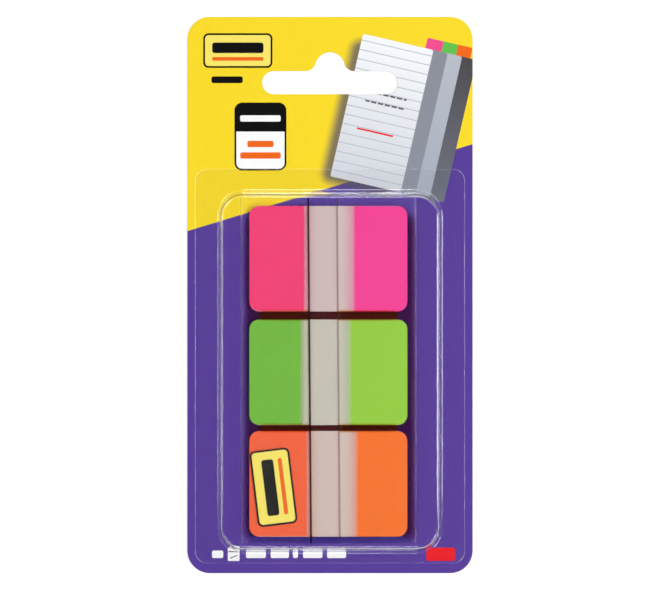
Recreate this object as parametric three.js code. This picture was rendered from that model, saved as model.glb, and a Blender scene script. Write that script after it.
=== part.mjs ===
// A carded pack of sticky index tabs.
//
// A printed backing card with a hang slot carries a clear thermoformed blister,
// sealed to its front by a flat flange. Under the blister lies one folded film
// dispenser, and in it three stacks of thin film tabs, which are pulled out one
// by one through the slot along its middle.
//
// The pack lies on its back. X runs across the card, Y up the card and Z out of
// its front. The origin is the middle of the card's back. Sizes are millimetres.

import * as THREE from 'three';

// Tabs, each one a die-cut film with rounded corners
const TAB_LENGTH = 38.1;
const TAB_WIDTH = 25.4;
const TAB_THICKNESS = 0.15;
const TAB_CORNER_RADIUS = 2.3;
const TABS_PER_STACK = 12;
const TAB_WOBBLE = 0.1;
const WOBBLE_STEP = 2.4;

// Stacks, from the top of the card down, with the free space under each
const STACKS = [
  { name: 'pink', colour: 0xf1427c, gapBelow: 2.15 },
  { name: 'green', colour: 0x84c443, gapBelow: 1.65 },
  { name: 'orange', colour: 0xf26b33, gapBelow: 0 },
];

// Dispenser, one film folded round the three stacks, open at its slot and ends
const SLEEVE_FILM = 0.2;
const SLEEVE_SIDE_PLAY = 1.2;
const SLEEVE_HEAD = 2.15;
const SLEEVE_FOOT = 1.7;
const SLEEVE_CLEARANCE = 0.05;
const SLEEVE_SHIFT = -0.4;
const SLOT_WIDTH = 6.6;
const SLOT_SHIFT = -1.05;
const LIP_LENGTH = 1.1;
const LIP_LIFT = 0.35;

// Blister, vacuum formed from one clear sheet
const BLISTER_FILM = 0.3;
const DOME_SIDE_ROOM = 5.57;
const DOME_HEAD_ROOM = 1.65;
const DOME_FOOT_ROOM = 2.25;
const DOME_HEADROOM = 2.6;
const DOME_CORNER_RADIUS = 5.8;
const DOME_SIDE_DRAFT = THREE.MathUtils.degToRad(5);
const DOME_END_DRAFT = THREE.MathUtils.degToRad(12);
const DOME_TOP_FILLET = 0.8;
const DOME_BASE_FLARE = 0.5;
const FLANGE_SIDE = 5.83;
const FLANGE_HEAD = 5.3;
const FLANGE_FOOT = 2.7;
const FLANGE_CORNER_RADIUS = 2.8;

// Backing card
const CARD_THICKNESS = 0.5;
const CARD_SIDE_MARGIN = 1.9;
const CARD_HEADER = 37;
const CARD_FOOT_MARGIN = 2.45;
const CARD_CORNER_RADIUS = 5.5;

// Hang slot in the card's header: a bar with round ends and a bump on top
const HANG_SLOT_DROP = 16;
const HANG_SLOT_LENGTH = 32.9;
const HANG_SLOT_HEIGHT = 5.6;
const HANG_BUMP_RADIUS = 3.6;
const HANG_BUMP_RISE = 4.6;
const HANG_FILLET = 2.4;

// Fineness of the round forms
const CORNER_SEGMENTS = 10;
const TAB_CORNER_SEGMENTS = 4;
const FOLD_SEGMENTS = 8;
const FILLET_SEGMENTS = 5;

// Sizes that follow, from the tabs outwards to the card
const stackHeight = TABS_PER_STACK * TAB_THICKNESS;
const stacksLength = STACKS.reduce((sum, stack) => sum + TAB_WIDTH + stack.gapBelow, 0);

const foldRadius = (stackHeight + SLEEVE_CLEARANCE + SLEEVE_FILM) / 2;
const sleeveWidth = TAB_LENGTH + 2 * (SLEEVE_SIDE_PLAY + foldRadius + SLEEVE_FILM / 2);
const sleeveLength = stacksLength + SLEEVE_HEAD + SLEEVE_FOOT;

const domeWidth = sleeveWidth + 2 * DOME_SIDE_ROOM;
const domeLength = sleeveLength + DOME_HEAD_ROOM + DOME_FOOT_ROOM;
const flangeWidth = domeWidth + 2 * FLANGE_SIDE;
const flangeLength = domeLength + FLANGE_HEAD + FLANGE_FOOT;

const cardWidth = flangeWidth + 2 * CARD_SIDE_MARGIN;
const cardHeight = flangeLength + CARD_HEADER + CARD_FOOT_MARGIN;

// Levels above the card's back
const sleeveBackZ = CARD_THICKNESS + SLEEVE_FILM / 2;
const stackZ = CARD_THICKNESS + SLEEVE_FILM;
const sleeveFrontZ = stackZ + stackHeight + SLEEVE_CLEARANCE + SLEEVE_FILM / 2;
const flangeTopZ = CARD_THICKNESS + BLISTER_FILM;
const domeTopZ = sleeveFrontZ + SLEEVE_FILM / 2 + LIP_LIFT + DOME_HEADROOM + BLISTER_FILM;

// Places up the card, measured from its middle
const flangeFootY = -cardHeight / 2 + CARD_FOOT_MARGIN;
const domeFootY = flangeFootY + FLANGE_FOOT;
const sleeveFootY = domeFootY + DOME_FOOT_ROOM;
const stacksTopY = sleeveFootY + SLEEVE_FOOT + stacksLength;
const hangSlotY = cardHeight / 2 - HANG_SLOT_DROP;

const cardMaterial = new THREE.MeshStandardMaterial({ color: 0x593f9a, roughness: 0.45, metalness: 0 });
const blisterMaterial = new THREE.MeshStandardMaterial({
  color: 0xf4f6f8,
  roughness: 0.08,
  metalness: 0,
  transparent: true,
  opacity: 0.25,
});
const sleeveMaterial = new THREE.MeshStandardMaterial({
  color: 0xf0efe8,
  roughness: 0.2,
  metalness: 0,
  transparent: true,
  opacity: 0.35,
});

function namedMesh(name, geometry, material) {
  const mesh = new THREE.Mesh(geometry, material);
  mesh.name = name;
  return mesh;
}

// Rounded rectangle about the origin
function roundedRectangle(width, height, radius) {
  const x = width / 2 - radius;
  const y = height / 2 - radius;
  const shape = new THREE.Shape();
  shape.moveTo(-x, -height / 2);
  shape.absarc(x, -y, radius, -Math.PI / 2, 0, false);
  shape.absarc(x, y, radius, 0, Math.PI / 2, false);
  shape.absarc(-x, y, radius, Math.PI / 2, Math.PI, false);
  shape.absarc(-x, -y, radius, Math.PI, Math.PI * 1.5, false);
  return shape;
}

// Outline of the hang slot: the bump's circle runs into the bar's upper edge
// through two fillets, which touch both of them
function hangSlotOutline() {
  const half = HANG_SLOT_HEIGHT / 2;
  const endX = HANG_SLOT_LENGTH / 2 - half;
  const bumpY = half + HANG_BUMP_RISE - HANG_BUMP_RADIUS;
  const filletY = half + HANG_FILLET;
  const filletX = Math.sqrt((HANG_BUMP_RADIUS + HANG_FILLET) ** 2 - (filletY - bumpY) ** 2);
  const meet = Math.atan2(filletY - bumpY, filletX);
  const quarter = Math.PI / 2;

  const outline = new THREE.Path();
  outline.moveTo(-endX, hangSlotY - half);
  outline.absarc(endX, hangSlotY, half, -quarter, quarter, false);
  outline.absarc(filletX, hangSlotY + filletY, HANG_FILLET, -quarter, meet - Math.PI, true);
  outline.absarc(0, hangSlotY + bumpY, HANG_BUMP_RADIUS, meet, Math.PI - meet, false);
  outline.absarc(-filletX, hangSlotY + filletY, HANG_FILLET, -meet, -quarter, true);
  outline.absarc(-endX, hangSlotY, half, quarter, 3 * quarter, false);
  return outline;
}

function makeCard() {
  const outline = roundedRectangle(cardWidth, cardHeight, CARD_CORNER_RADIUS);
  outline.holes.push(hangSlotOutline());
  const geometry = new THREE.ExtrudeGeometry(outline, {
    depth: CARD_THICKNESS,
    bevelEnabled: false,
    curveSegments: CORNER_SEGMENTS,
  });
  return namedMesh('card', geometry, cardMaterial);
}

// Points of a level rounded rectangle, counterclockwise seen from above
function levelRing(width, height, radius, centreY, z) {
  const points = [];
  for (let corner = 0; corner < 4; corner += 1) {
    const signX = corner === 0 || corner === 3 ? 1 : -1;
    const signY = corner < 2 ? 1 : -1;
    for (let step = 0; step <= CORNER_SEGMENTS; step += 1) {
      const angle = (corner + step / CORNER_SEGMENTS) * (Math.PI / 2);
      const x = signX * (width / 2 - radius) + radius * Math.cos(angle);
      const y = signY * (height / 2 - radius) + radius * Math.sin(angle);
      points.push(new THREE.Vector3(x, centreY + y, z));
    }
  }
  return points;
}

// One closed skin through a row of rings, with its first and last ring filled in
function loftRings(rings) {
  const count = rings[0].length;
  const points = rings.flat();
  const firstCentre = points.length;
  const lastCentre = firstCentre + 1;
  const lastRing = (rings.length - 1) * count;
  points.push(ringCentre(rings[0]), ringCentre(rings[rings.length - 1]));

  const triangles = [];
  for (let i = 0; i < count; i += 1) {
    const next = (i + 1) % count;
    triangles.push(firstCentre, next, i);
    triangles.push(lastCentre, lastRing + i, lastRing + next);
    for (let start = 0; start < lastRing; start += count) {
      triangles.push(start + i, start + next, start + count + next);
      triangles.push(start + i, start + count + next, start + count + i);
    }
  }
  const geometry = new THREE.BufferGeometry().setFromPoints(points);
  geometry.setIndex(triangles);
  geometry.computeVertexNormals();
  return geometry;
}

function ringCentre(ring) {
  const sum = ring.reduce((total, point) => total.add(point), new THREE.Vector3());
  return sum.divideScalar(ring.length);
}

// The dome's side wall in section, from the flange up to the flat top, as places
// inwards of the dome's outline. depth is 0 on the outer skin and the film's
// thickness on the inner one; both skins share the centres of their arcs.
function domeSection(depth) {
  const leanX = Math.cos(DOME_SIDE_DRAFT);
  const leanZ = Math.sin(DOME_SIDE_DRAFT);
  const footRise = DOME_BASE_FLARE * (1 - leanZ);
  const wallRise = domeTopZ - DOME_TOP_FILLET * (1 - leanZ) - (flangeTopZ + footRise);
  const footIn = footRise * Math.tan(DOME_SIDE_DRAFT);
  const headIn = footIn + wallRise * Math.tan(DOME_SIDE_DRAFT);

  const flareIn = footIn - DOME_BASE_FLARE * leanX;
  const flareZ = flangeTopZ + DOME_BASE_FLARE;
  const filletIn = headIn + DOME_TOP_FILLET * leanX;
  const filletZ = domeTopZ - DOME_TOP_FILLET;

  const section = [];
  for (let step = 0; step <= FILLET_SEGMENTS; step += 1) {
    const turn = (step / FILLET_SEGMENTS) * (Math.PI / 2 - DOME_SIDE_DRAFT);
    const reach = DOME_BASE_FLARE + depth;
    section.push({ inwards: flareIn + reach * Math.sin(turn), z: flareZ - reach * Math.cos(turn) });
  }
  for (let step = 0; step <= FILLET_SEGMENTS; step += 1) {
    const turn = DOME_SIDE_DRAFT + (step / FILLET_SEGMENTS) * (Math.PI / 2 - DOME_SIDE_DRAFT);
    const reach = DOME_TOP_FILLET - depth;
    section.push({ inwards: filletIn - reach * Math.cos(turn), z: filletZ + reach * Math.sin(turn) });
  }
  return section;
}

// Level rings of the dome, whose end walls lean in more than its side walls do
function domeRings(depth) {
  const centreY = domeFootY + domeLength / 2;
  const endLean = Math.tan(DOME_END_DRAFT) - Math.tan(DOME_SIDE_DRAFT);
  return domeSection(depth).map(({ inwards, z }) => levelRing(
    domeWidth - 2 * inwards,
    domeLength - 2 * (inwards + endLean * (z - flangeTopZ)),
    DOME_CORNER_RADIUS - inwards,
    centreY,
    z,
  ));
}

// The skin runs from the middle of the ceiling down the inside, under and round
// the flange, and up the outside again
function makeBlister() {
  const flangeY = flangeFootY + flangeLength / 2;
  const flangeUnder = levelRing(flangeWidth, flangeLength, FLANGE_CORNER_RADIUS, flangeY, CARD_THICKNESS);
  const flangeUpper = levelRing(flangeWidth, flangeLength, FLANGE_CORNER_RADIUS, flangeY, flangeTopZ);
  const inside = domeRings(BLISTER_FILM).reverse();
  const outside = domeRings(0);
  const geometry = loftRings([...inside, flangeUnder, flangeUpper, ...outside]);
  return namedMesh('blister', geometry, blisterMaterial);
}

// Closed section of a film of even thickness along a line of points
function filmSection(line, thickness) {
  const sides = [[], []];
  line.forEach((point, i) => {
    const before = line[Math.max(i - 1, 0)];
    const after = line[Math.min(i + 1, line.length - 1)];
    const along = after.clone().sub(before).normalize();
    const across = new THREE.Vector2(-along.y, along.x).multiplyScalar(thickness / 2);
    sides[0].push(point.clone().add(across));
    sides[1].push(point.clone().sub(across));
  });
  return new THREE.Shape([...sides[0], ...sides[1].reverse()]);
}

// Half a turn of the film round one side of the stacks
function foldLine(centreX, startAngle) {
  const points = [];
  const centreZ = (sleeveBackZ + sleeveFrontZ) / 2;
  for (let step = 0; step <= FOLD_SEGMENTS; step += 1) {
    const angle = startAngle + (step / FOLD_SEGMENTS) * Math.PI;
    const x = centreX + foldRadius * Math.cos(angle);
    const z = centreZ + foldRadius * Math.sin(angle);
    points.push(new THREE.Vector2(x, z));
  }
  return points;
}

// The dispenser seen along its length: front flap, fold, back, fold, front flap,
// with a lip that stands up along each side of the slot
function makeDispenserSleeve() {
  const foldX = TAB_LENGTH / 2 + SLEEVE_SIDE_PLAY;
  const slotLeft = SLOT_SHIFT - SLOT_WIDTH / 2;
  const slotRight = SLOT_SHIFT + SLOT_WIDTH / 2;
  const lipZ = sleeveFrontZ + LIP_LIFT;
  const line = [
    new THREE.Vector2(slotLeft, lipZ),
    new THREE.Vector2(slotLeft - LIP_LENGTH / 2, sleeveFrontZ + LIP_LIFT / 4),
    new THREE.Vector2(slotLeft - LIP_LENGTH, sleeveFrontZ),
    ...foldLine(-foldX, Math.PI / 2),
    ...foldLine(foldX, -Math.PI / 2),
    new THREE.Vector2(slotRight + LIP_LENGTH, sleeveFrontZ),
    new THREE.Vector2(slotRight + LIP_LENGTH / 2, sleeveFrontZ + LIP_LIFT / 4),
    new THREE.Vector2(slotRight, lipZ),
  ];
  const geometry = new THREE.ExtrudeGeometry(filmSection(line, SLEEVE_FILM), {
    depth: sleeveLength,
    bevelEnabled: false,
  });
  geometry.rotateX(Math.PI / 2);
  const mesh = namedMesh('dispenser_sleeve', geometry, sleeveMaterial);
  mesh.position.set(SLEEVE_SHIFT, sleeveFootY + sleeveLength, 0);
  return mesh;
}

// One stack: the tabs lie on each other, every second one turned end for end, so
// that its coloured end lies at the other side, and each a little out of line
function makeStack(stack, tabGeometry, centreY) {
  const group = new THREE.Group();
  const material = new THREE.MeshStandardMaterial({ color: stack.colour, roughness: 0.4, metalness: 0 });
  group.position.set(SLEEVE_SHIFT, centreY, stackZ);
  for (let layer = 0; layer < TABS_PER_STACK; layer += 1) {
    const number = String(layer + 1).padStart(2, '0');
    const tab = namedMesh(`${stack.name}_tab_${number}`, tabGeometry, material);
    const turned = (TABS_PER_STACK - layer) % 2 === 0;
    tab.rotation.z = turned ? Math.PI : 0;
    tab.position.x = TAB_WOBBLE * Math.sin(layer * WOBBLE_STEP);
    tab.position.y = TAB_WOBBLE * Math.cos(layer * WOBBLE_STEP);
    tab.position.z = layer * TAB_THICKNESS;
    group.add(tab);
  }
  return group;
}

function makeStacks() {
  const tabGeometry = new THREE.ExtrudeGeometry(
    roundedRectangle(TAB_LENGTH, TAB_WIDTH, TAB_CORNER_RADIUS),
    { depth: TAB_THICKNESS, bevelEnabled: false, curveSegments: TAB_CORNER_SEGMENTS },
  );
  const group = new THREE.Group();
  let topY = stacksTopY;
  for (const stack of STACKS) {
    group.add(makeStack(stack, tabGeometry, topY - TAB_WIDTH / 2));
    topY -= TAB_WIDTH + stack.gapBelow;
  }
  return group;
}

const pack = new THREE.Group();
pack.add(makeCard(), makeBlister(), makeDispenserSleeve(), makeStacks());

export default pack;
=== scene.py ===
# %% [markdown]
# A carded pack of sticky index tabs
#
# The pack is made of thin sheets: a printed card with a hang slot, three stacks of film tabs, a clear
# film folded round the stacks as their dispenser, and a clear blister sealed to the card. Nearly
# everything that the eye reads here is print and clear film, so much of this script is about materials.
# The construction comes first, as a fixed frame. It gives the place of each piece, in metres, and each
# visible piece is then made finer inside the box of its own node.

import math

import bmesh
import bpy
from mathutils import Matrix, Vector


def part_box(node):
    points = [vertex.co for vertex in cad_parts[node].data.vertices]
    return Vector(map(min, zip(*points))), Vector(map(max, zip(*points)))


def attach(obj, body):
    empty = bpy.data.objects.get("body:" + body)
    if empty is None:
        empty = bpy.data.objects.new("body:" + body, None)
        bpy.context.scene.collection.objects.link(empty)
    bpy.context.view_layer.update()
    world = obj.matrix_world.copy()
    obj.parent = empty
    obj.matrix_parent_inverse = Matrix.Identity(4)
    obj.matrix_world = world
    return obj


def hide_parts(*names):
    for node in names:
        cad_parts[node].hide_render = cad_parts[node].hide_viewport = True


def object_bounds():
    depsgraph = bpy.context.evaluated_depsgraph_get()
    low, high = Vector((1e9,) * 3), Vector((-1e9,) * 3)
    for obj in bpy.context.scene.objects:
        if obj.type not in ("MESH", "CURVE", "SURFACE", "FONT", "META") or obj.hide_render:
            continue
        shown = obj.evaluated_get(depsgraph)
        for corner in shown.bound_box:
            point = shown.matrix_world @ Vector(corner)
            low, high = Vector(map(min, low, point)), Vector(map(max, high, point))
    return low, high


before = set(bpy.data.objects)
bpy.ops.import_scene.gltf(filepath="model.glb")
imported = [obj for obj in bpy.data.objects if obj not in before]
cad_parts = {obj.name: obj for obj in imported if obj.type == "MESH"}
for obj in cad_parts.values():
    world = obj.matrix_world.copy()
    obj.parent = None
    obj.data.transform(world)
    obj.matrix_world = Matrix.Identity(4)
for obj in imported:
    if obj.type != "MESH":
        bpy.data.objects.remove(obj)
cad_low, cad_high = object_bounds()
MM = 0.001
print("nodes:", len(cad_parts))
print("box in mm:", [round(side / MM, 2) for side in cad_high - cad_low])

# %% [markdown]
# The camera
#
# A pack shot is taken from far away with a long lens, so that the card's edges stay parallel. The card
# lies on its back here, so the camera looks straight down on it. The distance and the lens together set
# how much of the floor is in view: the picture is 660 pixels wide, and one millimetre of card takes 4.113.

# %% Camera
PICTURE_WIDTH = 660
PIXELS_PER_MM = 4.113
CAMERA_HEIGHT = 900 * MM
SENSOR_WIDTH = 36

view_width = PICTURE_WIDTH / PIXELS_PER_MM * MM
camera = bpy.data.objects.new("camera", bpy.data.cameras.new("camera"))
camera.data.sensor_width = SENSOR_WIDTH
camera.data.lens = SENSOR_WIDTH * CAMERA_HEIGHT / view_width
camera.data.clip_start = 10 * MM
camera.location = (0, 0, CAMERA_HEIGHT)
bpy.context.scene.collection.objects.link(camera)
bpy.context.scene.camera = camera
bpy.context.scene.view_settings.view_transform = "Standard"
print("lens in mm:", round(camera.data.lens, 1))

# %% [markdown]
# Helpers for materials
#
# Colours are written as the hex values that a designer would read off a screen, and one function turns
# them into the linear values that the renderer works with. A second one adds a node together with its
# settings and its inputs, so that a material reads as a short list of steps.

# %% Colours and nodes
MIX_A, MIX_B, MIX_RESULT = 6, 7, 2  # the colour sockets of a Mix node


def linear(hex_colour):
    """A hex colour as the renderer's linear red, green, blue and alpha."""
    channels = [int(hex_colour[start:start + 2], 16) / 255 for start in (1, 3, 5)]
    return [c / 12.92 if c <= 0.04045 else ((c + 0.055) / 1.055) ** 2.4 for c in channels] + [1.0]


def add(tree, kind, inputs=None, **settings):
    """Adds a node. An input takes a plain value or the output socket of another node."""
    node = tree.nodes.new(kind)
    for name, value in settings.items():
        setattr(node, name, value)
    for name, value in (inputs or {}).items():
        if isinstance(value, bpy.types.NodeSocket):
            tree.links.new(value, node.inputs[name])
        else:
            node.inputs[name].default_value = value
    return node


def new_material(name):
    """An empty material, and its node tree."""
    material = bpy.data.materials.new(name)
    material.use_nodes = True
    material.node_tree.nodes.clear()
    return material, material.node_tree


def millimetres(tree):
    """The place on the pack, in millimetres from the middle of the card's back."""
    place = add(tree, "ShaderNodeTexCoord").outputs["Object"]
    scaled = add(tree, "ShaderNodeVectorMath", {0: place, "Scale": 1 / MM}, operation="SCALE")
    return scaled.outputs["Vector"]


NOISE_LOW, NOISE_HIGH = 0.3, 0.7  # noise seldom goes past these


def grain(tree, place, size, low, high, detail=3.0):
    """Fine noise with spots of about the given size in millimetres, between two values."""
    noise = add(tree, "ShaderNodeTexNoise", {"Vector": place, "Scale": 1 / size, "Detail": detail})
    spread = add(
        tree, "ShaderNodeMapRange",
        {"Value": noise.outputs["Fac"], "From Min": NOISE_LOW, "From Max": NOISE_HIGH,
         "To Min": low, "To Max": high},
    )
    return spread.outputs["Result"]


# %% [markdown]
# Helpers for print
#
# Print is flat ink with a crisp edge. One patch is a rounded box, and its mask is worked out from the
# distance to the box: move and turn the place into the box's own frame, fold it into one quarter with an
# absolute value, and measure how far it lies outside the straight part. An image would do it as well,
# but a mask by distance has no pixels and stays sharp in a close view.

# %% Ink patches
INK_EDGE = 0.03  # softness of a printed edge, in millimetres
ANY_DEPTH = 1000  # past the depth of every piece, so that only the place across the sheet counts


def patch(tree, place, centre, size, radius=0.0, turn=0.0, blur=INK_EDGE):
    """The mask of a rounded box, and the place in that box's own frame."""
    local = add(
        tree, "ShaderNodeMapping",
        {"Vector": place, "Location": (*centre, 0), "Rotation": (0, 0, math.radians(turn))},
        vector_type="TEXTURE",
    ).outputs["Vector"]
    folded = add(tree, "ShaderNodeVectorMath", {0: local}, operation="ABSOLUTE").outputs["Vector"]
    straight = (size[0] / 2 - radius, size[1] / 2 - radius, ANY_DEPTH)
    beyond = add(tree, "ShaderNodeVectorMath", {0: folded, 1: straight}, operation="SUBTRACT")
    outside = add(
        tree, "ShaderNodeVectorMath", {0: beyond.outputs["Vector"], 1: (0, 0, 0)}, operation="MAXIMUM"
    )
    distance = add(tree, "ShaderNodeVectorMath", {0: outside.outputs["Vector"]}, operation="LENGTH")
    mask = add(
        tree, "ShaderNodeMapRange",
        {"Value": distance.outputs["Value"], "From Min": radius, "From Max": radius + blur,
         "To Min": 1.0, "To Max": 0.0},
        interpolation_type="SMOOTHSTEP",
    )
    return mask.outputs["Result"], local


def stripes(tree, local, axis, pitch, share):
    """A mask of parallel stripes: each pitch is inked over the given share."""
    along = add(tree, "ShaderNodeSeparateXYZ", {0: local}).outputs[axis]
    turns = add(tree, "ShaderNodeMath", {0: along, 1: pitch}, operation="DIVIDE").outputs[0]
    phase = add(tree, "ShaderNodeMath", {0: turns}, operation="FRACT").outputs[0]
    return add(tree, "ShaderNodeMath", {0: phase, 1: share}, operation="LESS_THAN").outputs[0]


def times(tree, first, second):
    """The product of two masks."""
    return add(tree, "ShaderNodeMath", {0: first, 1: second}, operation="MULTIPLY").outputs[0]


def overprint(tree, below, ink, mask):
    """Ink laid over what is printed below it, where the mask says."""
    mixed = add(
        tree, "ShaderNodeMix", {0: mask, MIX_A: below, MIX_B: ink},
        data_type="RGBA", blend_type="MIX",
    )
    return mixed.outputs[MIX_RESULT]


# %% [markdown]
# The printed card
#
# The card is white-lined folding boxboard, printed by offset and sealed with a satin varnish. Its print
# is two fields of full colour that meet on one slanting line, with plain shapes on top: bars where words
# would stand, a pale panel, a black and white label, a cascade of ruled sheets with coloured tabs, and a
# small icon.
# Everything is placed in millimetres from the card's middle. Offset ink on board isn't quite even, so a
# fine noise moves the colour by a hundredth or two, and a finer one is the tooth of the board.

# %% Print of the card's front
YELLOW = linear("#FCDD2B")
PALE_YELLOW = linear("#FBE86A")
PURPLE = linear("#593F9A")
BLACK = linear("#0B0A0C")
WHITE = linear("#FDFDFD")
ORANGE = linear("#F26A1B")
RED = linear("#EE1C25")
PINK = linear("#F2508F")
GREEN = linear("#63C24E")

FIELD_EDGE_RISE = 0.305
FIELD_EDGE_HEIGHT = 26.1

SHEET_SIZE = (17.5, 35.5)
SHEET_TURN = -13
SHEET_FRONT = (12.6, 44.2)
SHEET_STEP = (3.5, -0.8)
SHEET_TINTS = ("#4E4A4C", "#B9BEC9", "#8D9099", "#F8FAFD")
SHEET_FOOT_TINT = linear("#8F97AD")
SHEET_FOOT_SHARE = 0.42
SHEET_TAB_SIZE = (4.0, 4.4)
SHADOW_SHIFT = (-1.4, -1.6)
SHADOW_TINT = linear("#57535E")
SHADOW_BLUR = 3.0
SHADOW_SHARE = 0.85
RULE_PITCH = 2.3
RULE_SHARE = 0.09
RULE_TINT = linear("#B6BDCC")
PENCIL_GREY = linear("#5C5F66")
PANEL_LINE = 0.45
HEAD_PANEL = ((-22.4, 59.4), (16.8, 8.4))  # a centre and a size, as for every mark here
HEAD_BAR = ((-25.0, 52.3), (7.6, 1.6))
LABEL_ACROSS = -16.9
FOOT_LEVEL = -63.0
FOOT_WORDS = ((-27.3, 2.7), (-18.0, 4.8), (-12.2, 4.4), (-8.4, 1.2), (-4.2, 4.7), (1.6, 4.6))
FOOT_BLOCK = ((26.9, FOOT_LEVEL), (7.0, 3.2))
ICON_ACROSS = -23.4
ICON_GREY = linear("#77757C")

INK_MOTTLE = 1.6  # the sizes of three unevennesses
BOARD_TOOTH = 0.12
VARNISH_MOTTLE = 0.5
TOOTH_DEPTH = 0.001 * MM


def bars(tree, place, colour, ink, marks, turn=0.0, radius=0.35, split=None):
    """Plain bars of ink. A split of a pitch and a share breaks them into short blocks."""
    for centre, size in marks:
        mask, local = patch(tree, place, centre, size, radius, turn)
        if split:
            mask = times(tree, mask, stripes(tree, local, "X", *split))
        colour = overprint(tree, colour, ink, mask)
    return colour


def print_fields(tree, place):
    """Yellow above a slanting line and purple below it."""
    across = add(
        tree, "ShaderNodeVectorMath", {0: place, 1: (-FIELD_EDGE_RISE, 1, 0)}, operation="DOT_PRODUCT"
    )
    above = add(
        tree, "ShaderNodeMath", {0: across.outputs["Value"], 1: FIELD_EDGE_HEIGHT}, operation="GREATER_THAN"
    )
    return overprint(tree, PURPLE, YELLOW, above.outputs[0])


def turned(centre, turn, across, up):
    """The place on the card of a point that is given from the middle of a turned box."""
    angle = math.radians(turn)
    x = centre[0] + across * math.cos(angle) - up * math.sin(angle)
    y = centre[1] + across * math.sin(angle) + up * math.cos(angle)
    return x, y


def print_panel(tree, place, colour, centre, size, turn=0.0):
    """A pale panel with a black outline, a black bar and a thin orange line below the bar."""
    length, height = size
    inner = (length - 2 * PANEL_LINE, height - 2 * PANEL_LINE)
    bar = [(turned(centre, turn, 0, height * 0.08), (length * 0.74, height * 0.3))]
    line = [(turned(centre, turn, 0, -height * 0.24), (length * 0.74, height * 0.1))]
    colour = bars(tree, place, colour, BLACK, [(centre, size)], turn, 1.3)
    colour = bars(tree, place, colour, PALE_YELLOW, [(centre, inner)], turn, 0.9)
    colour = bars(tree, place, colour, BLACK, bar, turn, 0.6)
    return bars(tree, place, colour, ORANGE, line, turn, 0.3)


def print_word_marks(tree, place, colour):
    """The panel at the head of the card, and plain bars where a pack has its words."""
    colour = print_panel(tree, place, colour, *HEAD_PANEL)
    colour = bars(tree, place, colour, BLACK, [HEAD_BAR], radius=0.5)
    foot = [((across, FOOT_LEVEL), (width, 1.8)) for across, width in FOOT_WORDS]
    colour = bars(tree, place, colour, WHITE, foot, radius=0.4)
    return bars(tree, place, colour, RED, [FOOT_BLOCK], radius=0.7)


def print_icon(tree, place, colour):
    """A small white sheet with two grey lines."""
    sheet = [((ICON_ACROSS, FOOT_LEVEL), (2.8, 3.2))]
    level_line = [((ICON_ACROSS, FOOT_LEVEL + 0.7), (2.5, 0.3))]
    rising_line = [((ICON_ACROSS, FOOT_LEVEL - 0.6), (1.9, 0.25))]
    colour = bars(tree, place, colour, WHITE, sheet, radius=0.1)
    colour = bars(tree, place, colour, ICON_GREY, level_line, radius=0.1)
    return bars(tree, place, colour, ICON_GREY, rising_line, turn=22, radius=0.1)


def print_label(tree, place, colour):
    """A label with a black head and a white foot, and bars for its words."""
    marks = (
        (BLACK, 38.5, (12.6, 16.5), 1.9),  # the whole label
        (WHITE, 35.1, (11.7, 8.8), 1.4),  # its foot, with round corners below
        (WHITE, 38.4, (11.7, 2.6), 0.05),  # and a straight edge above
        (WHITE, 42.9, (9.8, 1.5), 0.4),
        (ORANGE, 36.7, (6.3, 1.5), 0.4),
        (ORANGE, 33.9, (9.8, 1.5), 0.4),
    )
    for ink, up, size, radius in marks:
        colour = bars(tree, place, colour, ink, [((LABEL_ACROSS, up), size)], radius=radius)
    return colour


def on_sheet(number, across, up):
    """The place on the card of a point on one of the sheets, from the sheet's own middle."""
    middle = [front + number * step for front, step in zip(SHEET_FRONT, SHEET_STEP)]
    return turned(middle, SHEET_TURN, across, up)


def print_sheet(tree, place, colour, number):
    """One sheet that grows darker towards its foot, its mask, and the place in its own frame."""
    mask, local = patch(tree, place, on_sheet(number, 0, 0), SHEET_SIZE, 0.5, SHEET_TURN)
    up = add(tree, "ShaderNodeSeparateXYZ", {0: local}).outputs["Y"]
    fall = add(
        tree, "ShaderNodeMapRange",
        {"Value": up, "From Min": -SHEET_SIZE[1] / 2, "From Max": SHEET_SIZE[1] / 2,
         "To Min": SHEET_FOOT_SHARE, "To Max": 0.0},
    )
    tint = overprint(tree, linear(SHEET_TINTS[-1 - number]), SHEET_FOOT_TINT, fall.outputs["Result"])
    return overprint(tree, colour, tint, mask), mask, local


def print_sheets(tree, place, colour):
    """A cascade of ruled sheets, each with one coloured tab at its head."""
    width, height = SHEET_SIZE
    shadow_size = (width - 1.5, height - 3.0)
    shadow, _ = patch(
        tree, place, on_sheet(0, *SHADOW_SHIFT), shadow_size, 1.0, SHEET_TURN, blur=SHADOW_BLUR
    )
    colour = overprint(tree, colour, SHADOW_TINT, times(tree, shadow, SHADOW_SHARE))
    tabs = (None, PINK, GREEN, ORANGE)
    for number in range(len(SHEET_TINTS) - 1, -1, -1):
        if tabs[number] is not None:
            tab_place = on_sheet(number, width / 2 - 3.6, height / 2 + 0.4)
            tab = [(tab_place, SHEET_TAB_SIZE)]
            colour = bars(tree, place, colour, tabs[number], tab, SHEET_TURN, 0.4)
        colour, mask, local = print_sheet(tree, place, colour, number)
    rules = times(tree, mask, stripes(tree, local, "Y", RULE_PITCH, RULE_SHARE))
    colour = overprint(tree, colour, RULE_TINT, rules)
    pencil = [(on_sheet(0, 1.0, 4.4), (8.4, 0.4)), (on_sheet(0, 0.2, 2.1), (9.6, 0.4))]
    colour = bars(tree, place, colour, PENCIL_GREY, pencil, SHEET_TURN, 0.15, split=(1.7, 0.8))
    return bars(tree, place, colour, RED, [(on_sheet(0, -0.6, -4.9), (9.0, 0.4))], SHEET_TURN, 0.15)


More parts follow.
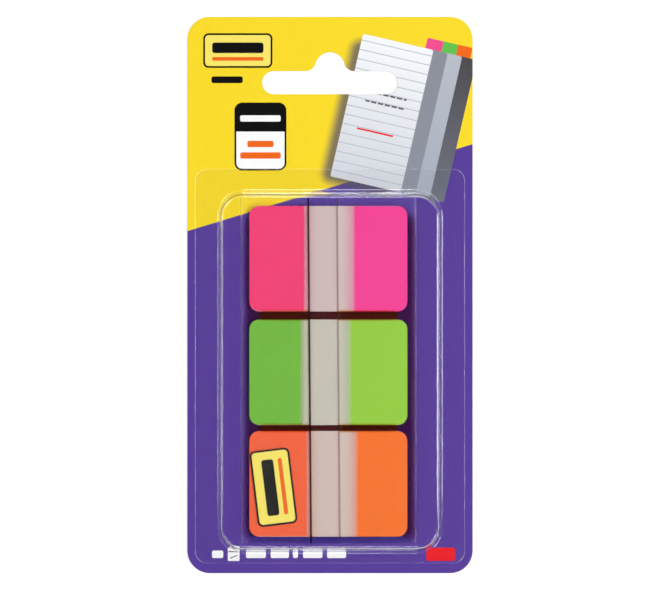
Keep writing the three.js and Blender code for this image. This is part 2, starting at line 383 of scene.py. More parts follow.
def printed_board():
    """Offset print under satin varnish on folding boxboard."""
    material, tree = new_material("offset_printed_boxboard_satin_varnish")
    place = millimetres(tree)
    colour = print_fields(tree, place)
    for step in (print_word_marks, print_icon, print_label, print_sheets):
        colour = step(tree, place, colour)
    uneven = grain(tree, place, INK_MOTTLE, 0.985, 1.0)
    inked = add(
        tree, "ShaderNodeVectorMath", {0: colour, "Scale": uneven}, operation="SCALE"
    ).outputs["Vector"]
    teeth = grain(tree, place, BOARD_TOOTH, 0, 1)
    tooth = add(tree, "ShaderNodeBump", {"Height": teeth, "Distance": TOOTH_DEPTH})
    varnish = add(
        tree, "ShaderNodeBsdfPrincipled",
        {"Base Color": inked, "Roughness": grain(tree, place, VARNISH_MOTTLE, 0.18, 0.22), "IOR": 1.5,
         "Normal": tooth.outputs[0]},
    )
    add(tree, "ShaderNodeOutputMaterial", {"Surface": varnish.outputs[0]})
    return material


def bare_board():
    """Uncoated greyish board, on the card's back and its cut edge. Loose fibres mottle it."""
    material, tree = new_material("uncoated_grey_boxboard")
    place = millimetres(tree)
    light, dark = linear("#DCD8CF"), linear("#C9C4B9")
    colour = overprint(tree, dark, light, grain(tree, place, 0.6, 0.0, 1.0))
    tooth = add(tree, "ShaderNodeBump", {"Height": grain(tree, place, 0.2, 0, 1), "Distance": 0.01 * MM})
    board = add(
        tree, "ShaderNodeBsdfPrincipled",
        {"Base Color": colour, "Roughness": 0.85, "IOR": 1.45, "Normal": tooth.outputs[0]},
    )
    add(tree, "ShaderNodeOutputMaterial", {"Surface": board.outputs[0]})
    return material


# %% [markdown]
# Clear film
#
# The blister is clear PET, formed by vacuum, and the dispenser is clear polypropylene film. Both are
# real sheets with two faces here, so that edges, folds and drafted walls bend the view as the real ones
# do. A path tracer finds it hard to bring light through such a sheet, because a shadow ray can't follow
# the bend. So the film is glass to the camera, and plainly clear to shadow rays and to light that comes
# off the card, which leaves the card under the film as bright as the card beside it. Where a film has a
# tint, that light takes it too, half of it at each of the sheet's two faces.

# %% Film materials
PET_IOR = 1.57
PET_ROUGHNESS = 0.06
PET_WAVE_LENGTH = 9.0
PET_WAVE_DEPTH = 0.004 * MM
CLEAR = linear("#FFFFFF")
FACE_SHARE = 0.5  # a colour to this power, twice, is the colour


def film_surface(tree, film, tint=CLEAR):
    """Glass to the eye, and clear to the light on its way to and from what lies below."""
    path = add(tree, "ShaderNodeLightPath").outputs
    light = add(
        tree, "ShaderNodeMath", {0: path["Is Shadow Ray"], 1: path["Is Diffuse Ray"]}, operation="MAXIMUM"
    )
    on_each_face = add(tree, "ShaderNodeGamma", {"Color": tint, "Gamma": FACE_SHARE}).outputs[0]
    clear = add(tree, "ShaderNodeBsdfTransparent", {"Color": on_each_face})
    return add(
        tree, "ShaderNodeMixShader", {0: light.outputs[0], 1: film.outputs[0], 2: clear.outputs[0]}
    )


def formed_pet(name, clearness):
    """Vacuum-formed PET sheet: glossy, with a faint waviness where it stretched over its mould."""
    material, tree = new_material(name)
    place = millimetres(tree)
    swell = grain(tree, place, PET_WAVE_LENGTH, 0, 1, detail=0.0)
    waves = add(tree, "ShaderNodeBump", {"Height": swell, "Distance": PET_WAVE_DEPTH})
    film = add(
        tree, "ShaderNodeBsdfPrincipled",
        {"Base Color": CLEAR, "Roughness": PET_ROUGHNESS, "IOR": PET_IOR,
         "Transmission Weight": clearness, "Normal": waves.outputs[0]},
    )
    add(tree, "ShaderNodeOutputMaterial", {"Surface": film_surface(tree, film).outputs[0]})
    return material


# %% [markdown]
# The dispenser's film
#
# The dispenser is cast polypropylene film with a soft gloss. Shade is painted on it as tints: a brown
# painted shade in the two gaps between the stacks, painted shade beside the stacks on its folds and its
# back, a faintly blue painted shade below the lowest stack, and a painted shade along each lip of its slot,
# dark at the left and faint at the right. Clear film has no colour of its own, so each tint is one soft
# patch on it, and the light that passes the film on its way to the card takes the same tint, so that the
# painted shade falls on the card as well. The real film shows hardly any mirror image, so a low index and
# a dark specular tint keep its folds quiet here. A printed panel sits on the lowest stack, on the film's
# front only.

# %% Dispenser film, with its printed panel
POLYPROPYLENE_IOR = 1.35  # 1.49 for the plastic itself
POLYPROPYLENE_ROUGHNESS = 0.14
FOLDED_WAVE_LENGTH = 6.0
FOLDED_WAVE_DEPTH = 0.006 * MM
SOFT_GLOSS = linear("#383838")
# Painted shade: brown in the gaps between the stacks.
GAP_SHADE_TINT = linear("#EEBB80")
GAP_SHADE_BLUR = 0.7
# The softness of the painted shade along the slot's lips.
LIP_BLUR = 0.15
# Painted shade beside the stacks, and a faintly blue painted shade below the lowest one, on the film's back.
STACK_SHADE_TINT = linear("#CC8EB5")
STACK_SHADE_BLUR = 3.2
FOOT_SHADE_TINT = linear("#D9DBEE")
FOOT_SHADE_DROP = 1.5
STACK_SHADE_SHIFT = 0.4
STICKER_CENTRE = (-13.7, -46.6)
STICKER_SIZE = (18.4, 9.6)
STICKER_TURN = 97


def folded_polypropylene(stacks, gap_shades, lips, front_level):
    """Cast polypropylene film with painted shade. Stacks, gap shades and lips are boxes of a centre and a
    size, in millimetres.
    """
    material, tree = new_material("folded_clear_polypropylene_film")
    place = millimetres(tree)
    level = add(tree, "ShaderNodeSeparateXYZ", {0: place}).outputs["Z"]
    front = add(tree, "ShaderNodeMath", {0: level, 1: front_level}, operation="GREATER_THAN").outputs[0]
    back = add(tree, "ShaderNodeMath", {0: 1.0, 1: front}, operation="SUBTRACT").outputs[0]

    (middle_x, middle_y), (width, length) = stacks
    # Painted shade beside the stacks, on the film's back and its folds.
    lower = (middle_x + STACK_SHADE_SHIFT, middle_y - STACK_SHADE_BLUR / 2)
    stack_shade, _ = patch(tree, place, lower, (width, length - STACK_SHADE_BLUR), radius=2.0, blur=STACK_SHADE_BLUR)
    tint = overprint(tree, CLEAR, STACK_SHADE_TINT, times(tree, stack_shade, back))
    # A faintly blue painted shade below the lowest stack, on the film's back.
    below = (middle_x, middle_y - length / 2 - FOOT_SHADE_DROP)
    foot, _ = patch(tree, place, below, (width - 1.0, 2.0), radius=0.6, blur=1.0)
    tint = overprint(tree, tint, FOOT_SHADE_TINT, times(tree, foot, back))
    # Painted shade in the gaps between the stacks, on both faces of the film.
    for centre, size in gap_shades:
        gap_shade, _ = patch(tree, place, centre, size, radius=0.4, blur=GAP_SHADE_BLUR)
        tint = overprint(tree, tint, GAP_SHADE_TINT, gap_shade)
    # Painted shade along the slot's lips on the film's front, dark at the left lip and faint at the right
    # one.
    for centre, size, turn, shade in lips:
        lip, _ = patch(tree, place, centre, size, turn=turn, blur=LIP_BLUR)
        tint = overprint(tree, tint, linear(shade), times(tree, lip, front))

    swell = grain(tree, place, FOLDED_WAVE_LENGTH, 0, 1, detail=0.0)
    waves = add(tree, "ShaderNodeBump", {"Height": swell, "Distance": FOLDED_WAVE_DEPTH})
    film = add(
        tree, "ShaderNodeBsdfPrincipled",
        {"Base Color": tint, "Roughness": POLYPROPYLENE_ROUGHNESS, "IOR": POLYPROPYLENE_IOR,
         "Transmission Weight": 1.0, "Specular Tint": SOFT_GLOSS, "Normal": waves.outputs[0]},
    )
    clear = film_surface(tree, film, tint)

    outline, _ = patch(tree, place, STICKER_CENTRE, STICKER_SIZE, 1.3, STICKER_TURN)
    colour = print_panel(tree, place, BLACK, STICKER_CENTRE, STICKER_SIZE, STICKER_TURN)
    ink = add(tree, "ShaderNodeBsdfPrincipled", {"Base Color": colour, "Roughness": 0.3, "IOR": 1.5})
    surface = add(
        tree, "ShaderNodeMixShader", {0: times(tree, outline, front), 1: clear.outputs[0], 2: ink.outputs[0]}
    )
    add(tree, "ShaderNodeOutputMaterial", {"Surface": surface.outputs[0]})
    return material


# %% [markdown]
# Tab film
#
# A tab is matte polyester film. One end carries fluorescent ink, and the rest has an adhesive on its
# back. Where a stack holds only uncoated middles above each other, a dozen films scatter the light
# and look milky. Where the clear end of a tab lies stuck on the coloured end of the next one, the glue
# wets both, and the colour shows through. So each film has three zones along its length, and its UV map
# says how far a point is from the coloured end, whichever way round the tab lies. Fluorescent ink gives
# back more light of its own colour than it gets in that colour. That is painted light here: the inked
# zone glows a little with a fixed emission of its own colour, whatever light falls on it.

# %% Tab materials
TAB_LENGTH = 38.1
INK_LENGTH = 13.3
INK_BLUR = 0.9
MILKY = "#E6DCD6"
MILKY_INK_SHARE = 0.09
PAST_INK = ((INK_BLUR / 2, 0.42), (1.4, 0.26), (2.8, MILKY_INK_SHARE))  # mm past the ink, share of its hue
BEFORE_END = ((2.8, MILKY_INK_SHARE), (1.0, 0.24), (0.0, 0.42))  # the same, before the next tab's ink
PAINTED_INK_GLOW = 0.06


def zones(tree, along, stops):
    """A ramp along the tab, with its stops in millimetres from the coloured end."""
    ramp = add(tree, "ShaderNodeValToRGB", {"Fac": along})
    elements = ramp.color_ramp.elements
    elements[0].position, elements[0].color = stops[0][0] / TAB_LENGTH, stops[0][1]
    elements[1].position, elements[1].color = stops[-1][0] / TAB_LENGTH, stops[-1][1]
    for position, colour in stops[1:-1]:
        elements.new(position / TAB_LENGTH).color = colour
    return ramp.outputs["Color"]


def blend_colours(first, second, share):
    """A share of the second colour in the first one."""
    return [a + (b - a) * share for a, b in zip(first, second)]


def tab_film(name, ink_hex, cover, end_cover):
    """Matte polyester: printed end, milky middle and an end with little to see."""
    material, tree = new_material(name)
    place = millimetres(tree)
    along = add(tree, "ShaderNodeSeparateXYZ", {0: add(tree, "ShaderNodeUVMap", uv_map="film").outputs[0]})
    ink, milky = linear(ink_hex), linear(MILKY)
    near, far = INK_LENGTH, TAB_LENGTH - INK_LENGTH
    fades = [(near + gap, share) for gap, share in PAST_INK]
    fades += [(far - gap, share) for gap, share in BEFORE_END]
    colour = zones(
        tree, along.outputs["X"],
        [(near - INK_BLUR / 2, ink)] + [(at, blend_colours(milky, ink, share)) for at, share in fades],
    )
    # Painted light: a fixed glow in the ink's colour, which stands in for the ink's fluorescence.
    glow = zones(tree, along.outputs["X"], [
        (near - INK_BLUR / 2, (PAINTED_INK_GLOW, PAINTED_INK_GLOW, PAINTED_INK_GLOW, 1)),
        (near + INK_BLUR / 2, (0, 0, 0, 1)),
    ])
    alpha = zones(tree, along.outputs["X"], [
        (near - INK_BLUR / 2, (1, 1, 1, 1)),
        (near + INK_BLUR / 2, (cover, cover, cover, 1)),
        (far - INK_BLUR / 2, (cover, cover, cover, 1)),
        (far + INK_BLUR / 2, (end_cover, end_cover, end_cover, 1)),
    ])
    uneven = add(
        tree, "ShaderNodeVectorMath", {0: colour, "Scale": grain(tree, place, 2.5, 0.97, 1.0)},
        operation="SCALE",
    )
    film = add(
        tree, "ShaderNodeBsdfPrincipled",
        {"Base Color": uneven.outputs["Vector"], "Roughness": grain(tree, place, 0.3, 0.22, 0.28),
         "IOR": 1.58, "Specular IOR Level": 0.25, "Alpha": alpha,
         "Emission Color": uneven.outputs["Vector"], "Emission Strength": glow},
    )
    add(tree, "ShaderNodeOutputMaterial", {"Surface": film.outputs[0]})
    return material


# %% [markdown]
# Helpers for shapes
#
# Cards, tabs and blisters all start as a rounded rectangle. The quickest true one is a single square
# face: it is stretched to size, and a vertex bevel then rounds each corner. Rings with the same number of
# points can be bridged later, so the same helper serves for flat sheets and for the levels of the dome.

# %% Rounded rectangles and finished pieces
CORNER_STEPS = 12
ROUND = 0.5
CUT_ANGLE = math.radians(60)  # faces that meet at more than this share a cut edge


def rounded_face(bm, low, high, radius, z, steps=CORNER_STEPS):
    """One flat face with round corners, between two corners of a box."""
    made = bmesh.ops.create_grid(bm, x_segments=1, y_segments=1, size=0.5)["verts"]
    bmesh.ops.scale(bm, vec=Vector((high[0] - low[0], high[1] - low[1], 1)), verts=made)
    middle = Vector(((low[0] + high[0]) / 2, (low[1] + high[1]) / 2, z))
    bmesh.ops.translate(bm, vec=middle, verts=made)
    rounded = bmesh.ops.bevel(
        bm, geom=made, offset=radius, offset_type="OFFSET", segments=steps, profile=ROUND,
        affect="VERTICES", material=-1,
    )
    return rounded["verts"][0].link_faces[0]


def round_edges(bm, edges, width, steps):
    """Rounds edges over the given width on each side of them."""
    bmesh.ops.bevel(
        bm, geom=edges, offset=width, offset_type="OFFSET", segments=steps, profile=ROUND,
        affect="EDGES", material=-1,
    )


def finish_piece(name, bm, replaced, materials):
    """Turns a bmesh into a piece that rides on the pack and stands for CAD nodes."""
    mesh = bpy.data.meshes.new(name)
    bm.to_mesh(mesh)
    bm.free()
    piece = bpy.data.objects.new(name, mesh)
    bpy.context.scene.collection.objects.link(piece)
    for material in materials:
        mesh.materials.append(material)
    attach(piece, "root")
    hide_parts(*replaced)
    return piece


def give_thickness(piece, thickness, offset):
    """Turns a skin into a sheet. An offset of -1 grows it inwards, and 0 to both sides."""
    solid = piece.modifiers.new("sheet", "SOLIDIFY")
    solid.thickness = thickness
    solid.offset = offset
    solid.use_even_offset = True


def shade_smooth(piece):
    """Smooth shading that leaves the large flat faces flat."""
    piece.data.shade_smooth()
    weighted = piece.modifiers.new("flat_faces", "WEIGHTED_NORMAL")
    weighted.keep_sharp = True


# %% [markdown]
# The card
#
# The real card is punched from board in one stroke, with its round corners and its hang slot. So the
# outline and the slot are drawn as two loops of edges, the space between them is filled, and the fill
# gets its thickness. The slot is a bar with a bump on top. Its outline is a polygon of eight corners, and
# each corner is then rounded by its own radius, which gives true arcs that run into each other.

# %% Card
CARD_CORNER_RADIUS = 5.5 * MM
SLOT_DROP = 16 * MM
SLOT_LENGTH = 32.9 * MM
SLOT_HEIGHT = 5.6 * MM
BUMP_RADIUS = 3.6 * MM
BUMP_RISE = 4.6 * MM
BUMP_FILLET = 2.4 * MM
PUNCHED_EDGE = 0.06 * MM
FACES_UP = 0.9  # the least height of a normal that counts as the front
NEARLY = 0.999  # keeps two arcs that meet from sharing one point


def slot_corners():
    """The corners of the hang slot about the middle of its bar, each with the width of its bevel."""
    half = SLOT_HEIGHT / 2
    end = SLOT_LENGTH / 2
    reach = BUMP_RADIUS + BUMP_FILLET
    drop = BUMP_FILLET + BUMP_RADIUS - BUMP_RISE
    half_turn = math.tan((math.pi / 2 - math.asin(drop / reach)) / 2)
    foot = BUMP_FILLET * half_turn
    head = BUMP_RADIUS * half_turn
    foot_x = math.sqrt(reach ** 2 - drop ** 2) - foot
    right = [(end, -half, half), (end, half, half), (foot_x, half, foot), (head, half + BUMP_RISE, head)]
    return right + [(-x, y, width) for x, y, width in reversed(right)]


def hang_slot_loop(bm, middle_y, z):
    """The edges of the hang slot's outline."""
    corners = slot_corners()
    points = [bm.verts.new((x, middle_y + y, z)) for x, y, _ in corners]
    face = bm.faces.new(points)
    for point, (_, _, width) in zip(points, corners):
        rounded = bmesh.ops.bevel(
            bm, geom=[point], offset=width * NEARLY, offset_type="OFFSET", segments=CORNER_STEPS,
            profile=ROUND, affect="VERTICES", material=-1,
        )
        face = rounded["verts"][0].link_faces[0]
    return list(face.edges)


def make_card():
    """The board, printed on its front and bare on its back and its cut edges."""
    low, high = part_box("card")
    bm = bmesh.new()
    loops = list(rounded_face(bm, low, high, CARD_CORNER_RADIUS, high.z).edges)
    loops += hang_slot_loop(bm, high.y - SLOT_DROP, high.z)
    bmesh.ops.delete(bm, geom=list(bm.faces), context="FACES_ONLY")
    filled = bmesh.ops.triangle_fill(bm, edges=loops, use_beauty=True, use_dissolve=True, normal=(0, 0, 1))
    front = [part for part in filled["geom"] if isinstance(part, bmesh.types.BMFace)]
    bmesh.ops.solidify(bm, geom=front, thickness=high.z - low.z)
    bmesh.ops.recalc_face_normals(bm, faces=bm.faces)
    rims = [edge for edge in bm.edges if edge.calc_face_angle(0) > CUT_ANGLE]
    round_edges(bm, rims, PUNCHED_EDGE, 2)
    for face in bm.faces:
        face.material_index = 0 if face.normal.z > FACES_UP else 1
    card = finish_piece("card_board", bm, ["card"], [printed_board(), bare_board()])
    shade_smooth(card)
    return card


card = make_card()
print("card_board:", len(card.data.polygons), "faces")

# %% [markdown]
# The blister
#
# A thermoformed blister is one sheet of even thickness: it has a drafted wall so that it leaves its
# mould, a fillet round its top and a small flare where the wall meets the flange. One skin is built
# through three rings, the flange's outline, the dome's foot and the dome's top. The two sharp rings are
# then rounded with a bevel, and a Solidify modifier gives the skin its thickness on the inside. The
# fillet and the flare are what catch the lamps, so they carry more steps than anything else. A Bevel
# modifier rounds the flange's cut rim and makes it a little cloudy, a painted highlight that shows as
# a thin pale line on the card.

# %% Blister
PET_THICKNESS = 0.29 * MM  # a hair thinner than the sheet, so that its flange lies just clear of the card
FLANGE_CORNER_RADIUS = 2.8 * MM
FLANGE_SIDE = 5.83 * MM
FLANGE_HEAD = 5.3 * MM
FLANGE_FOOT = 2.7 * MM
FLANGE_LEVEL = 0.3 * MM
DOME_CORNER_RADIUS = 5.8 * MM
SIDE_DRAFT = math.radians(5)
END_DRAFT = math.radians(12)
TOP_FILLET = 0.8 * MM
FOOT_FLARE = 0.5 * MM
FILLET_STEPS = 8
RIM_ROUND = 0.13 * MM
# The cut rim is less clear than the sheet: a painted highlight along the flange's edge.
RIM_HIGHLIGHT_CLEARNESS = 0.86


def make_blister():
    """The flange and the dome, as one skin with a thickness."""
    low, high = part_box("blister")
    flange_z = low.z + FLANGE_LEVEL
    rise = high.z - flange_z
    in_side, in_end = rise * math.tan(SIDE_DRAFT), rise * math.tan(END_DRAFT)
    foot_low = (low.x + FLANGE_SIDE, low.y + FLANGE_FOOT)
    foot_high = (high.x - FLANGE_SIDE, high.y - FLANGE_HEAD)
    top_low = (foot_low[0] + in_side, foot_low[1] + in_end)
    top_high = (foot_high[0] - in_side, foot_high[1] - in_end)

    bm = bmesh.new()
    flange = rounded_face(bm, low, high, FLANGE_CORNER_RADIUS, flange_z)
    flange_ring = list(flange.edges)
    foot = rounded_face(bm, foot_low, foot_high, DOME_CORNER_RADIUS, flange_z)
    foot_ring = list(foot.edges)
    top = rounded_face(bm, top_low, top_high, DOME_CORNER_RADIUS - in_side, high.z)
    top_ring = list(top.edges)
    bmesh.ops.delete(bm, geom=[flange, foot], context="FACES_ONLY")
    bmesh.ops.bridge_loops(bm, edges=flange_ring + foot_ring)
    bmesh.ops.bridge_loops(bm, edges=foot_ring + top_ring)

    turn = math.tan((math.pi / 2 - SIDE_DRAFT) / 2)
    round_edges(bm, top_ring, TOP_FILLET * turn, FILLET_STEPS)
    round_edges(bm, [edge for edge in foot_ring if edge.is_valid], FOOT_FLARE * turn, FILLET_STEPS)
    bmesh.ops.recalc_face_normals(bm, faces=bm.faces)
    if max(bm.faces, key=lambda face: face.calc_center_median().z).normal.z < 0:
        bmesh.ops.reverse_faces(bm, faces=bm.faces)
    sheet = formed_pet("vacuum_formed_clear_pet", 1.0)
    # A less clear copy of the sheet for the rim, a painted highlight that draws a thin pale line.
    pale_rim = formed_pet("clear_pet_with_painted_rim_highlight", RIM_HIGHLIGHT_CLEARNESS)
    blister = finish_piece("blister_dome", bm, ["blister"], [sheet, pale_rim])
    give_thickness(blister, PET_THICKNESS, -1)
    rim = blister.modifiers.new("cut_rim", "BEVEL")
    rim.limit_method = "ANGLE"
    rim.angle_limit = CUT_ANGLE
    rim.width = RIM_ROUND
    rim.segments = 3
    rim.material = 1
    shade_smooth(blister)
    return blister


blister = make_blister()
print("blister_dome:", len(blister.data.polygons), "faces")

# %% [markdown]
# The tabs
#
# Each tab is die-cut from film, so it is one rounded face with a thickness. It is made a hundredth of a
# millimetre thinner than its place in the stack, because two clear faces that share one plane can't both
# be drawn. Tabs with an even number have their coloured end at the right, the others at the left. The
# UV map runs from the coloured end to the other one, so one material serves for both.

# %% Tabs
TAB_CORNER_RADIUS = 2.3 * MM
AIR_BETWEEN_TABS = 0.012 * MM
TABS_PER_STACK = 12
STACKS = {  # ink of the upper tab, ink of the one below, and how far the print sits off the tab's middle
    "pink": ("#F24095", "#F43072", 0.25),
    "green": ("#93CA40", "#6DB932", -0.6),
    "orange": ("#F5732B", "#F65F34", 0.9),
}


def map_film(bm, low, high, end_side, shift):
    """A UV map whose first axis runs along the tab from its coloured end."""
    uv = bm.loops.layers.uv.new("film")
    end_x = high.x if end_side > 0 else low.x
    for face in bm.faces:
        for loop in face.loops:
            from_end = end_side * (end_x - loop.vert.co.x + shift * MM)
            across = loop.vert.co.y - low.y
            loop[uv].uv = (from_end / MM / TAB_LENGTH, across / MM / TAB_LENGTH)


def make_tab(node, material, end_side, shift):
    """One tab in the place of its node. The coloured end is at the right (1) or at the left (-1)."""
    low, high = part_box(node)
    bm = bmesh.new()
    face = rounded_face(bm, low, high, TAB_CORNER_RADIUS, low.z, steps=8)
    bmesh.ops.solidify(bm, geom=[face], thickness=-(high.z - low.z - AIR_BETWEEN_TABS))
    bmesh.ops.recalc_face_normals(bm, faces=bm.faces)
    map_film(bm, low, high, end_side, shift)
    return finish_piece(node.replace("tab", "index_tab"), bm, [node], [material])


def make_stacks():
    """Three stacks of tabs, each with its own three materials."""
    made = []
    for name, (upper_ink, lower_ink, shift) in STACKS.items():
        top = tab_film(f"{name}_tab_film_top", upper_ink, cover=0.72, end_cover=0.03)
        second = tab_film(f"{name}_tab_film_second", lower_ink, cover=1.0, end_cover=1.0)
        below = tab_film(f"{name}_tab_film_below", upper_ink, cover=1.0, end_cover=1.0)
        for number in range(1, TABS_PER_STACK + 1):
            even = number % 2 == 0
            material = top if number == TABS_PER_STACK else below if even else second
            node = f"{name}_tab_{number:02d}"
            made.append(make_tab(node, material, 1 if even else -1, shift))
    return made


tabs = make_stacks()
print("tabs:", len(tabs))

# %% [markdown]
# The dispenser
#
# The dispenser is one strip of film, folded round the stacks. Its two edges come together over their
# middle and leave a slot, and each edge stands up a little as a lip, so that a finger can pull the top tab
# out. Such a folded strip is best drawn as its section: a line of a few points, with its folds rounded by
# a vertex bevel, is drawn along the stacks and thickened. The two halves are not quite square to the
# tabs, so the slot drifts a little to the side from its head to its foot.

# %% Dispenser
FILM_THICKNESS = 0.17 * MM
FILM_HALF = 0.1 * MM
FILM_CLEARANCE = 0.05 * MM
SLOT_MIDDLE = -1.45 * MM
SLOT_WIDTH = 6.6 * MM
LIP_LENGTH = 1.1 * MM
LIP_LIFT = 0.35 * MM
SLOT_DRIFT = 0.7 * MM
LIP_LINE = 0.4 * MM
GAP_SHADE_INSET = 0.25 * MM
GAP_SHADE_START = 2.5 * MM
LIP_PAINTED_SHADES = ("#6A4F54", "#D9C9CB")  # painted shade, dark at the slot's left lip and faint at its right
FOLD_STEPS = 10


def flat_box(low, high, inset):
    """The centre and the size in millimetres of a box seen from above, a little inside the given corners."""
    low_x, low_y, high_x, high_y = (value / MM for value in (low[0], low[1], high[0], high[1]))
    size = (high_x - low_x - 2 * inset / MM, high_y - low_y - 2 * inset / MM)
    return ((low_x + high_x) / 2, (low_y + high_y) / 2), size


def make_dispenser():
    """The folded strip, from its section, and the places of its painted shade."""
    low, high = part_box("dispenser_sleeve")
    back_z = low.z + FILM_HALF
    front_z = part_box(f"pink_tab_{TABS_PER_STACK}")[1].z + FILM_CLEARANCE + FILM_HALF
    left, right = low.x + FILM_HALF, high.x - FILM_HALF
    lip_left, lip_right = SLOT_MIDDLE - SLOT_WIDTH / 2, SLOT_MIDDLE + SLOT_WIDTH / 2
    section = [
        (lip_left, front_z + LIP_LIFT), (lip_left - LIP_LENGTH, front_z),
        (left, front_z), (left, back_z), (right, back_z), (right, front_z),
        (lip_right + LIP_LENGTH, front_z), (lip_right, front_z + LIP_LIFT),
    ]
    bm = bmesh.new()
    points = [bm.verts.new((x, low.y, z)) for x, z in section]
    for first, second in zip(points, points[1:]):
        bm.edges.new((first, second))
    fold = (front_z - back_z) / 2 * NEARLY
    for chosen, width in ((points[2:6], fold), ([points[1], points[6]], LIP_LENGTH / 2)):
        bmesh.ops.bevel(
            bm, geom=chosen, offset=width, offset_type="OFFSET", segments=FOLD_STEPS, profile=ROUND,
            affect="VERTICES", material=-1,
        )
    drawn = bmesh.ops.extrude_edge_only(bm, edges=list(bm.edges))["geom"]
    head = [part for part in drawn if isinstance(part, bmesh.types.BMVert)]
    bmesh.ops.translate(bm, vec=Vector((0, high.y - low.y, 0)), verts=head)
    slot_reach = (lip_left - 2 * LIP_LENGTH, lip_right + 2 * LIP_LENGTH)
    for vert in bm.verts:
        if vert.co.z > front_z - FILM_HALF and slot_reach[0] < vert.co.x < slot_reach[1]:
            share = (vert.co.y - low.y) / (high.y - low.y) - 0.5
            vert.co.x -= SLOT_DRIFT * share
    bmesh.ops.recalc_face_normals(bm, faces=bm.faces)

    top_tabs = [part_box(f"{name}_tab_{TABS_PER_STACK}") for name in STACKS]
    stacks = flat_box(top_tabs[-1][0], top_tabs[0][1], 0)
    # Where the painted shade lies in the gaps between the stacks.
    gap_shades = [
        flat_box((upper[0].x + GAP_SHADE_START, lower[1].y), (upper[1].x - GAP_SHADE_START, upper[0].y), GAP_SHADE_INSET)
        for upper, lower in zip(top_tabs, top_tabs[1:])
    ]
    # Where the painted shade runs along the lips of the slot.
    lean = math.degrees(math.atan(SLOT_DRIFT / (high.y - low.y)))
    middle_y, length = (low.y + high.y) / 2 / MM, (high.y - low.y) / MM
    lip_lines = (lip_left - LIP_LINE / 3, lip_right + LIP_LINE / 3)
    lips = [
        ((x / MM, middle_y), (LIP_LINE / MM, length), lean, shade) for x, shade in zip(lip_lines, LIP_PAINTED_SHADES)
    ]
    material = folded_polypropylene(stacks, gap_shades, lips, (front_z - FILM_THICKNESS) / MM)
    sleeve = finish_piece("dispenser_film", bm, ["dispenser_sleeve"], [material])
    give_thickness(sleeve, FILM_THICKNESS, 0)
    shade_smooth(sleeve)
    return sleeve


sleeve = make_dispenser()
print("dispenser_film:", len(sleeve.data.polygons), "faces")

# %% [markdown]
# The floor
#
# The floor is plain white paper. To the camera, and in reflections and through clear film, part of its
# white is added light, so that it reads as white paper does in a studio. The rest comes from the lamps,
# and so the card's own shadow stays on it.

# %% Floor
FLOOR_SIZE = 6.0
FLOOR_DROP = 0.03 * MM
FLOOR_GLOW = 0.3


def paper():
    """White background paper."""
    material, tree = new_material("white_background_paper")
    path = add(tree, "ShaderNodeLightPath").outputs
    seen = add(
        tree, "ShaderNodeMath", {0: path["Is Camera Ray"], 1: path["Is Glossy Ray"]}, operation="MAXIMUM"
    )
    seen = add(
        tree, "ShaderNodeMath", {0: seen.outputs[0], 1: path["Is Transmission Ray"]}, operation="MAXIMUM"
    )
    glow = add(tree, "ShaderNodeMath", {0: seen.outputs[0], 1: FLOOR_GLOW}, operation="MULTIPLY")
    sheet = add(
        tree, "ShaderNodeBsdfPrincipled",
        {"Base Color": linear("#E9E9E9"), "Roughness": 0.9, "Emission Color": (1, 1, 1, 1),
         "Emission Strength": glow.outputs[0]},
    )
    add(tree, "ShaderNodeOutputMaterial", {"Surface": sheet.outputs[0]})
    return material


floor_mesh = bpy.data.meshes.new("floor")
bm = bmesh.new()
bmesh.ops.create_grid(bm, x_segments=1, y_segments=1, size=FLOOR_SIZE / 2)
bmesh.ops.translate(bm, vec=Vector((0, 0, cad_low.z - FLOOR_DROP)), verts=bm.verts)
bm.to_mesh(floor_mesh)
bm.free()
floor = bpy.data.objects.new("floor", floor_mesh)
floor_mesh.materials.append(paper())
bpy.context.scene.collection.objects.link(floor)

# %% [markdown]
# Light
#
# Clear film mirrors what stands opposite the camera. Seen from above, that is what hangs beside the
# camera, and seen from low down, it is the far end of the studio. So the studio is dark overhead, dim at
# the horizon and pale in between, and eight softboxes stand in a ring round the pack, high enough to
# miss both. They don't show in the flat film, and they draw thin bright lines along the fillets of the
# blister and round its corners. The one at the right is the strongest, so the lines there are too. Each
# lamp's power is worked out from its share of the light on the card, and with the surroundings the
# shares add up to one, the level at which a colour renders as it is written.

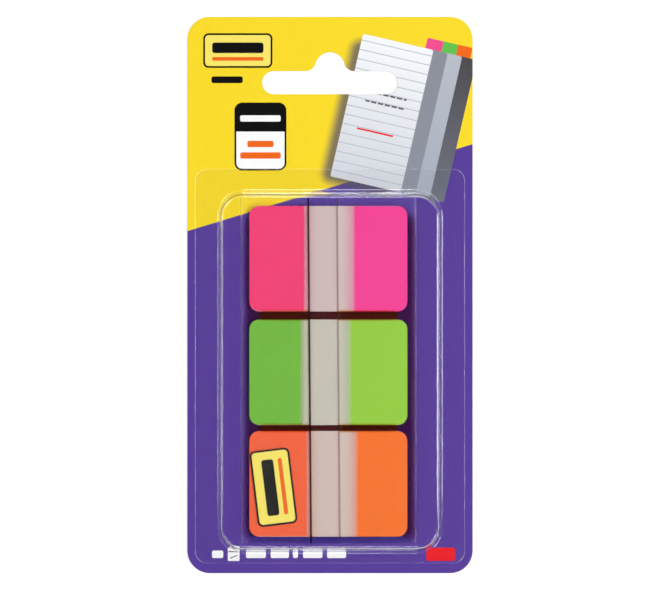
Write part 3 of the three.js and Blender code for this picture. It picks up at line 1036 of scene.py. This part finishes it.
# %% Surroundings and lamps
LEVEL_LOW = 0.3
LEVEL_PALE = 0.5
LEVEL_OVERHEAD = 0.03
PALE_FROM, PALE_FULL = 0.2, 0.4  # heights on the sky's unit sphere
DARK_FROM, DARK_FULL = 0.48, 0.72
LAMP_DISTANCE = 800 * MM
LAMP_ELEVATION = math.radians(58)
LAMPS = {  # direction round the pack in degrees, length and height of the softbox in mm, share of the light
    "right": (0, 190, 250, 0.3),
    "head_right": (42, 190, 220, 0.09),
    "head": (90, 90, 220, 0.08),
    "head_left": (138, 190, 220, 0.1),
    "left": (180, 190, 250, 0.1),
    "foot_left": (228, 190, 220, 0.05),
    "foot": (270, 90, 220, 0.04),
    "foot_right": (318, 190, 220, 0.13),
}


def surroundings():
    """A studio that is dim at the horizon, pale above it and dark overhead."""
    world = bpy.data.worlds.new("studio")
    bpy.context.scene.world = world
    world.use_nodes = True
    tree = world.node_tree
    tree.nodes.clear()
    direction = add(tree, "ShaderNodeTexCoord").outputs["Generated"]
    height = add(tree, "ShaderNodeSeparateXYZ", {0: direction}).outputs["Z"]
    steps = ((PALE_FROM, PALE_FULL, LEVEL_LOW, LEVEL_PALE), (DARK_FROM, DARK_FULL, 1.0, LEVEL_OVERHEAD))
    rise, fall = (
        add(
            tree, "ShaderNodeMapRange",
            {"Value": height, "From Min": start, "From Max": end, "To Min": before, "To Max": after},
            interpolation_type="SMOOTHSTEP",
        ).outputs["Result"]
        for start, end, before, after in steps
    )
    pale = add(tree, "ShaderNodeBackground", {"Color": (1, 1, 1, 1), "Strength": times(tree, rise, fall)})
    add(tree, "ShaderNodeOutputWorld", {"Surface": pale.outputs[0]})


def softbox(name, azimuth, length, height, share):
    """An area lamp that looks at the pack and gives it a share of its light.

    White paper renders as white when pi watts fall on each square metre. A lamp of P watts brings
    P / (pi * distance ** 2) to a face that looks at it, and less to one that lies flat below it.
    """
    light = bpy.data.lights.new(f"softbox_{name}", "AREA")
    light.shape = "RECTANGLE"
    light.size = length * MM
    light.size_y = height * MM
    light.energy = share * (math.pi * LAMP_DISTANCE) ** 2 / math.sin(LAMP_ELEVATION)
    lamp = bpy.data.objects.new(f"softbox_{name}", light)
    turn = math.radians(azimuth)
    away = Vector((math.cos(turn), math.sin(turn), math.tan(LAMP_ELEVATION))).normalized()
    lamp.location = away * LAMP_DISTANCE
    lamp.rotation_euler = away.to_track_quat("Z", "Y").to_euler()
    bpy.context.scene.collection.objects.link(lamp)
    return lamp


surroundings()
for name, facts in LAMPS.items():
    lamp = softbox(name, *facts)
    print(lamp.name, "watts:", round(lamp.data.energy, 2))
